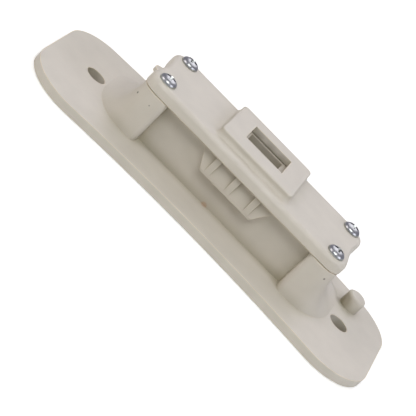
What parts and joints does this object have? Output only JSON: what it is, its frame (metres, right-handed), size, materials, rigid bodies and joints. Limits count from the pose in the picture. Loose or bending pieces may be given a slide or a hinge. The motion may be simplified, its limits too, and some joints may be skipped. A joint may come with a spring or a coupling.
{
  "type": "dryer door catch",
  "caption": "Moulded tumble-dryer door catch: bowed mounting plate, raised housing with swept ramps, screwed cover bar with a slotted mouth and a sprung keeper inside",
  "frame": {"origin": "Midway between the two fixing holes, on the flat mounting face under the plate.", "axes": "+X along the plate towards the end with the locating peg, +Y across the plate towards its convex far edge, +Z out of the mounting face towards the mouth."},
  "size_m": [0.159, 0.0698, 0.0287],
  "materials": {
    "carrier_plastic": "light greige moulded plastic, fine satin",
    "cover_plastic": "light greige moulded plastic, fine satin",
    "box_plastic": "light greige moulded plastic, satin",
    "keeper_plastic": "grey-white acetal",
    "steel_pin": "plain ground steel",
    "spring_wire": "drawn spring wire",
    "zinc_screw": "bright zinc plate"
  },
  "bodies": {
    "housing": {"carrier": "carrier_plastic", "catch_box": "box_plastic", "cover": "cover_plastic", "pivot_pin": "steel_pin", "keeper_spring": "spring_wire", "screws": "zinc_screw"},
    "keeper": {"keeper": "keeper_plastic"}
  },
  "joints": [
    {"name": "keeper_pivot", "type": "hinge", "parent": "housing", "child": "keeper", "pos_m": [0, 0, 0.008], "axis": [1, 0, 0], "range_deg": [0, 22], "stiffness_Nm_per_rad": 0.02, "springref_deg": -20.05, "deforming": ["keeper_spring"]}
  ]
}
